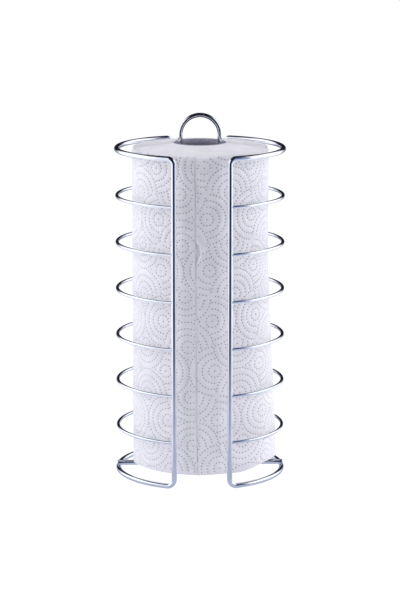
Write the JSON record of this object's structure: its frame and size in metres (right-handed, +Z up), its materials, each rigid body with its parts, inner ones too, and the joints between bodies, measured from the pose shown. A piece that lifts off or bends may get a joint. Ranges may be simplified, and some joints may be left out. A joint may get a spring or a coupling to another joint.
{
  "type": "paper towel holder",
  "caption": "Free-standing upright paper towel holder: an open cage of chromed wire round a standing roll, with a loop handle above it.",
  "frame": {"origin": "on the worktop under the middle of the roll, at the centre of the object's footprint", "axes": "+Z up along the roll, -Y towards the front, where the sheet is pulled out, +X to the right of somebody facing it"},
  "size_m": [0.1502, 0.1418, 0.3195],
  "materials": {
    "chromed_wire": "polished",
    "core_card": "matte",
    "towel_paper": "matte"
  },
  "bodies": {
    "holder": {"left_frame": "chromed_wire", "right_frame": "chromed_wire", "left_ring_1": "chromed_wire", "left_ring_2": "chromed_wire", "left_ring_3": "chromed_wire", "left_ring_4": "chromed_wire", "left_ring_5": "chromed_wire", "left_ring_6": "chromed_wire", "right_ring_1": "chromed_wire", "right_ring_2": "chromed_wire", "right_ring_3": "chromed_wire", "right_ring_4": "chromed_wire", "right_ring_5": "chromed_wire", "right_ring_6": "chromed_wire", "base_bar": "chromed_wire", "centre_post": "chromed_wire"},
    "core": {"roll_core": "core_card"},
    "roll": {"paper_roll": "towel_paper"}
  },
  "joints": [
    {"name": "roll_lift", "type": "slide", "parent": "holder", "child": "core", "axis": [0, 0, 1], "range_m": [0, 0.315]},
    {"name": "roll_spin", "type": "hinge", "parent": "core", "child": "roll", "pos_m": [0, 0, 0], "axis": [0, 0, 1], "continuous": true}
  ]
}
